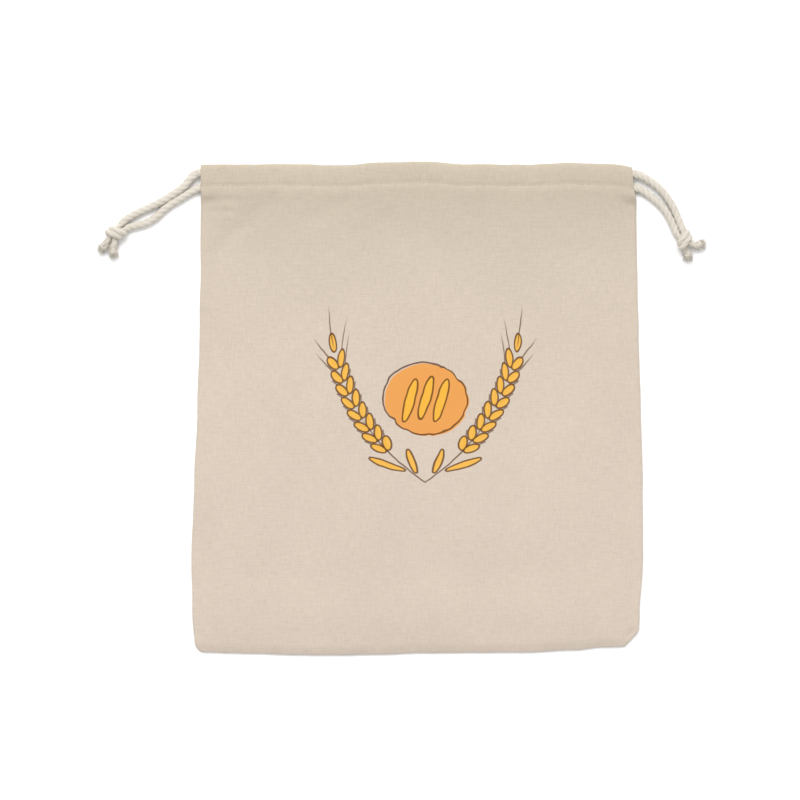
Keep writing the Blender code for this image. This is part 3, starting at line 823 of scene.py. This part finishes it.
def cotton_cord_material(cords):
    """Soft unbleached cotton cord, three plies twisted together: matt and pale, with painted shade where the
    plies meet.

    The eye gets slanting ply edges and, inside each ply, fine fibres that run along it. Single fibres are far
    too fine to show, so they are drawn as streaks a quarter of a millimetre wide."""
    made, tree, shader = new_material("Twisted cotton cord", 0.95)
    uv = add(tree, "ShaderNodeUVMap", uv_map=CORD_UV)
    along = add(tree, "ShaderNodeMapping", {"Vector": uv, "Scale": (4000.0, 320.0, 1.0)})
    fibres = add(tree, "ShaderNodeTexNoise", {"Vector": along, "Scale": 1.0, "Detail": 3.0, "Roughness": 0.6})
    tone = add(tree, "ShaderNodeMapRange", {"Value": fibres, 1: 0.25, 2: 0.75, 3: 0.88, 4: 1.06})
    patches = add(tree, "ShaderNodeTexNoise", {"Vector": uv, "Scale": 160.0, "Detail": 2.0})
    patches = add(tree, "ShaderNodeMapRange", {"Value": patches, 1: 0.3, 2: 0.7, 3: 0.95, 4: 1.04})
    # Painted shade: the cord darkens where its plies meet, by the depth between plies stored on the mesh.
    crevice = add(tree, "ShaderNodeAttribute", attribute_name=CREVICE)
    dip = {"Value": crevice.outputs["Fac"], 1: 0.08, 2: 0.7, 3: 1.0, 4: 0.88}
    dip = add(tree, "ShaderNodeMapRange", dip, interpolation_type="SMOOTHSTEP")
    shade = add(tree, "ShaderNodeMath", {0: tone, 1: patches}, operation="MULTIPLY")
    shade = add(tree, "ShaderNodeMath", {0: shade, 1: dip}, operation="MULTIPLY")
    colour = add(tree, "ShaderNodeVectorMath", {0: tuple(cords.cotton), "Scale": shade}, operation="SCALE")
    tree.links.new(colour.outputs[0], shader.inputs["Base Color"])
    bumped = add(tree, "ShaderNodeBump", {"Height": fibres, "Strength": 0.35, "Distance": 0.00015})
    tree.links.new(bumped.outputs[0], shader.inputs["Normal"])
    shader.inputs["Sheen Weight"].default_value = 0.15
    return made


def thread_material(name, colour, grain):
    """Spun cotton: a matt thread or a loose fibre, with soft light and dark stretches along it."""
    made, tree, shader = new_material(name, 0.9)
    places = add(tree, "ShaderNodeTexCoord")
    twist = {"Vector": places.outputs["Object"], "Scale": grain, "Detail": 2.0}
    twist = add(tree, "ShaderNodeTexNoise", twist)
    tone = add(tree, "ShaderNodeMapRange", {"Value": twist, 1: 0.3, 2: 0.7, 3: 0.90, 4: 1.06})
    shaded = add(tree, "ShaderNodeVectorMath", {0: tuple(colour), "Scale": tone}, operation="SCALE")
    tree.links.new(shaded.outputs[0], shader.inputs["Base Color"])
    bumped = add(tree, "ShaderNodeBump", {"Height": twist, "Strength": 0.3, "Distance": 0.0001})
    tree.links.new(bumped.outputs[0], shader.inputs["Normal"])
    return made


# ---------------------------------------------------------------------------------------------------------
# Geometry Nodes


def new_tree(name, inputs):
    """A Geometry Nodes tree with a geometry input and output and the named inputs, and its two end nodes."""
    tree = bpy.data.node_groups.new(name, "GeometryNodeTree")
    tree.interface.new_socket("Geometry", in_out="INPUT", socket_type="NodeSocketGeometry")
    for label, kind in inputs:
        tree.interface.new_socket(label, in_out="INPUT", socket_type=kind)
    tree.interface.new_socket("Geometry", in_out="OUTPUT", socket_type="NodeSocketGeometry")
    return tree, add(tree, "NodeGroupInput"), add(tree, "NodeGroupOutput")


def stitch_tree():
    """Running stitches along a line: one rounded length of thread at every pitch, each a little different."""
    tree, given, result = new_tree("Running stitches", [
        ("Pitch", "NodeSocketFloat"), ("Length", "NodeSocketFloat"), ("Thread width", "NodeSocketFloat"),
        ("Seed", "NodeSocketInt"), ("Thread", "NodeSocketMaterial")])
    line = add(tree, "GeometryNodeMeshToCurve", {"Mesh": given.outputs["Geometry"]})
    pitch, width = given.outputs["Pitch"], given.outputs["Thread width"]
    points = add(tree, "GeometryNodeResampleCurve", {"Curve": line, "Length": pitch}, mode="LENGTH")
    size = add(tree, "ShaderNodeCombineXYZ", {0: given.outputs["Length"], 1: width, 2: width})
    uneven = add(tree, "FunctionNodeRandomValue", {"Seed": given.outputs["Seed"]}, data_type="FLOAT")
    uneven.inputs[2].default_value = 0.85
    uneven.inputs[3].default_value = 1.12
    size = add(tree, "ShaderNodeVectorMath", {0: size, "Scale": uneven.outputs[1]}, operation="SCALE")
    tangent = add(tree, "GeometryNodeInputTangent")
    lie = add(tree, "FunctionNodeAlignRotationToVector", {"Vector": tangent}, axis="X")
    skew = add(tree, "FunctionNodeRandomValue", {"Seed": given.outputs["Seed"]}, data_type="FLOAT_VECTOR")
    skew.inputs[0].default_value = (0.0, -0.03, -0.07)
    skew.inputs[1].default_value = (0.0, 0.03, 0.07)
    skew.inputs["ID"].default_value = 7
    stitch = add(tree, "GeometryNodeMeshUVSphere", {"Segments": 8, "Rings": 6, "Radius": 0.5})
    placed = add(tree, "GeometryNodeInstanceOnPoints", {
        "Points": points, "Instance": stitch, "Rotation": lie, "Scale": size})
    turned = add(tree, "GeometryNodeRotateInstances", {"Instances": placed, "Rotation": skew.outputs[0]})
    real = add(tree, "GeometryNodeRealizeInstances", {0: turned})
    smooth = add(tree, "GeometryNodeSetShadeSmooth", {0: real})
    finished = add(tree, "GeometryNodeSetMaterial", {0: smooth, "Material": given.outputs["Thread"]})
    tree.links.new(finished.outputs[0], result.inputs[0])
    return tree


def fray_tree():
    """Loose fibres on a cut end: thin tapering bristles at random places, most of them almost straight out."""
    tree, given, result = new_tree("Frayed fibres", [
        ("Count per square metre", "NodeSocketFloat"), ("Length", "NodeSocketFloat"),
        ("Width", "NodeSocketFloat"), ("Seed", "NodeSocketInt"), ("Fibre", "NodeSocketMaterial")])
    spots = add(tree, "GeometryNodeDistributePointsOnFaces", {
        "Mesh": given.outputs["Geometry"], "Density": given.outputs["Count per square metre"],
        "Seed": given.outputs["Seed"]})
    lean = add(tree, "FunctionNodeRandomValue", {"Seed": given.outputs["Seed"]}, data_type="FLOAT_VECTOR")
    lean.inputs[0].default_value = (-0.6, -0.6, -0.35)
    lean.inputs[1].default_value = (0.6, 0.6, 0.55)
    straight = spots.outputs["Normal"]
    heading = add(tree, "ShaderNodeVectorMath", {0: straight, 1: lean.outputs[0]}, operation="ADD")
    turn = add(tree, "FunctionNodeAlignRotationToVector", {"Vector": heading}, axis="Z")
    reach = add(tree, "FunctionNodeRandomValue", {"Seed": given.outputs["Seed"]}, data_type="FLOAT")
    reach.inputs[2].default_value = 0.45
    reach.inputs[3].default_value = 1.0
    length = {0: given.outputs["Length"], 1: reach.outputs[1]}
    length = add(tree, "ShaderNodeMath", length, operation="MULTIPLY")
    width = given.outputs["Width"]
    size = add(tree, "ShaderNodeCombineXYZ", {0: width, 1: width, 2: length})
    fibre = add(tree, "GeometryNodeMeshCone", {
        "Vertices": 5, "Side Segments": 2, "Radius Top": 0.12, "Radius Bottom": 0.5, "Depth": 1.0})
    placed = add(tree, "GeometryNodeInstanceOnPoints", {
        "Points": spots.outputs["Points"], "Instance": fibre.outputs["Mesh"],
        "Rotation": turn, "Scale": size})
    real = add(tree, "GeometryNodeRealizeInstances", {0: placed})
    # Fibres that would hang lower lie on the table; the other two limits are far away.
    place = add(tree, "GeometryNodeInputPosition")
    place = add(tree, "ShaderNodeVectorMath", {0: place, 1: (-9.0, -9.0, 0.0001)}, operation="MAXIMUM")
    pressed = add(tree, "GeometryNodeSetPosition", {"Geometry": real, "Position": place})
    smooth = add(tree, "GeometryNodeSetShadeSmooth", {0: pressed})
    finished = add(tree, "GeometryNodeSetMaterial", {0: smooth, "Material": given.outputs["Fibre"]})
    tree.links.new(finished.outputs[0], result.inputs[0])
    return tree


def grown(name, mesh, tree, values):
    """Runs a Geometry Nodes tree on a mesh with the given inputs and gives the result as a plain object."""
    base = bpy.data.objects.new(name, mesh)
    bpy.context.scene.collection.objects.link(base)
    nodes = base.modifiers.new(tree.name, "NODES")
    nodes.node_group = tree
    for item in tree.interface.items_tree:
        if item.in_out == "INPUT" and item.name in values:
            nodes[item.identifier] = values[item.name]
    graph = bpy.context.evaluated_depsgraph_get()
    result = bpy.data.meshes.new_from_object(base.evaluated_get(graph))
    base.modifiers.remove(nodes)
    base.data = result
    result.name = name
    if not result.polygons:
        raise RuntimeError(f"{name}: the tree {tree.name} made no faces")
    return base


# ---------------------------------------------------------------------------------------------------------
# Operators


def belongs(piece, slot, *nodes):
    """The piece rides on the bag and stands for the CAD nodes named, which it hides. The slot is not used."""
    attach(piece, "root")
    if nodes:
        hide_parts(*nodes)


FLOOR_REACH = 6.0  # from the middle of the floor to its edges
SOFTBOX_SIZE = (1.8, 1.0)
SOFTBOX_PLACE = (-0.15, 1.35, 1.6)


class BREADBAG_OT_stage(bpy.types.Operator):
    """Make the floor, the soft studio light and the camera"""

    bl_idname = "bread_bag.stage"
    bl_label = "Stage"

    def execute(self, context):
        stage = context.scene.bread_bag_stage
        mesh = bpy.data.meshes.new("floor")
        plane = bmesh.new()
        bmesh.ops.create_grid(plane, x_segments=1, y_segments=1, size=FLOOR_REACH)
        plane.to_mesh(mesh)
        plane.free()
        mesh.transform(Matrix.Translation((0, 0, -TABLE_GAP)))
        floor = bpy.data.objects.new("floor", mesh)
        context.scene.collection.objects.link(floor)
        made, tree, shader = new_material("Matt white studio floor", 1.0)
        places = add(tree, "ShaderNodeTexCoord")
        cloud = add(tree, "ShaderNodeTexNoise", {"Vector": places.outputs["Object"], "Scale": 3.0})
        tone = add(tree, "ShaderNodeMapRange", {"Value": cloud, 1: 0.3, 2: 0.7, 3: 0.995, 4: 1.0})
        colour = add(tree, "ShaderNodeVectorMath", {0: tuple(stage.floor), "Scale": tone}, operation="SCALE")
        tree.links.new(colour.outputs[0], shader.inputs["Base Color"])
        shader.inputs["Specular IOR Level"].default_value = 0.0
        mesh.materials.append(made)

        softbox = bpy.data.lights.new("softbox", "AREA")
        softbox.shape = "RECTANGLE"
        softbox.size, softbox.size_y = SOFTBOX_SIZE
        softbox.energy = stage.key_power
        lamp = bpy.data.objects.new("softbox", softbox)
        lamp.location = SOFTBOX_PLACE
        lamp.rotation_euler = (Vector((0, 0, 0)) - lamp.location).to_track_quat("-Z", "Y").to_euler()
        context.scene.collection.objects.link(lamp)

        world = bpy.data.worlds.new("Even white room")
        world.use_nodes = True
        back = world.node_tree.nodes["Background"]
        back.inputs["Color"].default_value = (1, 1, 1, 1)
        back.inputs["Strength"].default_value = stage.sky
        context.scene.world = world

        camera = bpy.data.cameras.new("camera")
        camera.lens = stage.lens
        camera.sensor_width = 36.0
        seen = bpy.data.objects.new("camera", camera)
        seen.location = (*stage.camera_centre, stage.view_width * stage.lens / camera.sensor_width)
        context.scene.collection.objects.link(seen)
        context.scene.camera = seen
        context.scene.view_settings.view_transform = "Standard"
        return {"FINISHED"}


FRAY = {"Count per square metre": 3.6e6, "Length": 0.0042, "Width": 0.00034}
FRAYED_RINGS = 6           # places near a cut end that fibres grow from
RING_SKIP = 3              # cross-sections from one such place to the next
FLAT_IN_CASING = 0.62      # height of a cord's section as a share of its width where the casing presses it
ROUNDER = 0.24             # how much of that share it gains outside
SPREAD, SPREAD_LOST = 1.16, 0.08  # a limp cord's width over its nominal one, and what it loses by the knot


class BREADBAG_OT_cords(bpy.types.Operator):
    """Make the two drawcords: their runs through the casings, four free ends and the knots that tie them"""

    bl_idname = "bread_bag.cords"
    bl_label = "Cords and knots"

    def execute(self, context):
        cords = context.scene.bread_bag_cords
        radius = cords.diameter / 2
        cotton = cotton_cord_material(cords)
        fibre = thread_material("Loose cotton fibre", cords.cotton, 900.0)
        frays = fray_tree()
        for side in KNOTS:
            strands = knot_strands(side, radius)
            tubes = [cord_tube(line, size, cords.ply_pitch, phase=index * 1.1)
                     for index, (line, size) in enumerate(strands)]
            knot = tubes_object("tied_knot_" + side, tubes, cotton)
            belongs(knot, "cotton_cord", "knot_" + side)
            discs = bmesh.new()
            for line, size in strands[:2]:
                for back in range(FRAYED_RINGS):
                    place = len(line) - 1 - back * RING_SKIP
                    turn = Vector((0, 0, 1)).rotation_difference(Vector(line[place] - line[place - 1]))
                    turn = turn.to_matrix().to_4x4()
                    turn.translation = Vector(line[place])
                    bmesh.ops.create_circle(
                        discs, cap_ends=True, segments=12, radius=size[place], matrix=turn)
            ends = bpy.data.meshes.new("cut_ends")
            discs.to_mesh(ends)
            discs.free()
            fray = grown("frayed_ends_" + side, ends, frays, {**FRAY, "Seed": len(side), "Fibre": fibre})
            belongs(fray, "cotton_cord")
            for which in RUNS:
                route = smooth_route(TAILS[which, side], RING_STEP)
                away = np.linspace(0, route_length(route), len(route))
                oval = FLAT_IN_CASING + ROUNDER * ease(away / 0.007)
                fat = radius * (SPREAD - SPREAD_LOST * away / away[-1])
                tube = cord_tube(route, fat, cords.ply_pitch, squash=oval, phase=len(which) + len(side))
                tail = tubes_object(f"cord_end_{which}_{side}", [tube], cotton)
                belongs(tail, "cotton_cord", "cord_" + which)
        for which, (down, height) in RUNS.items():
            inner = [(x, float(table_curve(ENDS, np.array(x), 2)) - down, height) for x in RUN_X]
            stops = [TAILS[which, side][0] for side in ("left", "right")]
            route = smooth_route([stops[0], *inner, stops[1]], RING_STEP * 3)
            tube = cord_tube(route, radius, cords.ply_pitch, squash=0.60)
            run = tubes_object("cord_run_" + which, [tube], cotton)
            belongs(run, "cotton_cord", "cord_" + which)
        return {"FINISHED"}


class BREADBAG_OT_cloth(bpy.types.Operator):
    """Make the back and the printed front panel, each one thin sheet with its casing, mouth fold and hem"""

    bl_idname = "bread_bag.cloth"
    bl_label = "Cloth panels"

    def execute(self, context):
        cloth = context.scene.bread_bag_cloth
        drawn = context.scene.bread_bag_print
        plain = linen_material("Plain-woven linen", cloth)
        printed = linen_material("Plain-woven linen, screen-printed", cloth, drawn)
        back = make_panel("back", cloth, plain)
        belongs(back, "linen_cloth", "back_panel")
        front = make_panel("front", cloth, printed)
        belongs(front, "linen_cloth", "front_panel")
        return {"FINISHED"}


class BREADBAG_OT_stitches(bpy.types.Operator):
    """Sew the casings: a line of running stitches across each panel"""

    bl_idname = "bread_bag.stitches"
    bl_label = "Casing stitches"

    def execute(self, context):
        cloth = context.scene.bread_bag_cloth
        cords = context.scene.bread_bag_cords
        thread = thread_material("Cotton sewing thread", cords.thread_colour, 2500.0)
        tree = stitch_tree()
        for side, below, outwards in (("front", FRONT_STITCH_DOWN, 1), ("back", BACK_STITCH_DOWN, -1)):
            places, _, down = panel_grid(side, cloth)
            # The last rows are inside the mouth's hem, where the cloth passes the same depth again.
            row = int(np.argmin(np.abs(down[:round(len(down) * 0.93)] - below)))
            line = places[row, 6:-6].copy()
            line[:, 2] += outwards * (cloth.thickness / 2 - 0.00001 - 0.00022 * (side == "back"))
            mesh = bpy.data.meshes.new("seam_line")
            mesh.from_pydata(line.tolist(), [(index, index + 1) for index in range(len(line) - 1)], [])
            sewn = grown("casing_stitches_" + side, mesh, tree, {
                "Pitch": cords.stitch_pitch, "Length": cords.stitch_length, "Thread width": cords.thread,
                "Seed": 3, "Thread": thread})
            belongs(sewn, "linen_cloth")
        return {"FINISHED"}


class BREADBAG_PT_panel(bpy.types.Panel):
    """Lists the steps that make the bag, and its settings"""

    bl_idname = "BREADBAG_PT_panel"
    bl_label = "Linen bread bag"
    bl_space_type = "VIEW_3D"
    bl_region_type = "UI"
    bl_category = "Bread bag"

    def draw(self, context):
        for operator in OPERATORS:
            self.layout.operator(operator.bl_idname)
        for name, group in SETTINGS.items():
            box = self.layout.box()
            for field in group.__annotations__:
                box.prop(getattr(context.scene, name), field)


SETTINGS = {"bread_bag_cloth": BagClothSettings, "bread_bag_print": BagPrintSettings,
            "bread_bag_cords": BagCordSettings, "bread_bag_stage": BagStageSettings}
OPERATORS = (BREADBAG_OT_stage, BREADBAG_OT_cords, BREADBAG_OT_cloth, BREADBAG_OT_stitches)


def register():
    for name, group in SETTINGS.items():
        bpy.utils.register_class(group)
        setattr(bpy.types.Scene, name, bpy.props.PointerProperty(type=group))
    for item in (*OPERATORS, BREADBAG_PT_panel):
        bpy.utils.register_class(item)


def unregister():
    for item in (BREADBAG_PT_panel, *reversed(OPERATORS)):
        bpy.utils.unregister_class(item)
    for name, group in reversed(SETTINGS.items()):
        delattr(bpy.types.Scene, name)
        bpy.utils.unregister_class(group)


def main():
    register()
    bpy.ops.bread_bag.stage()
    bpy.ops.bread_bag.cords()
    bpy.ops.bread_bag.cloth()
    bpy.ops.bread_bag.stitches()


if __name__ == "__main__":
    main()
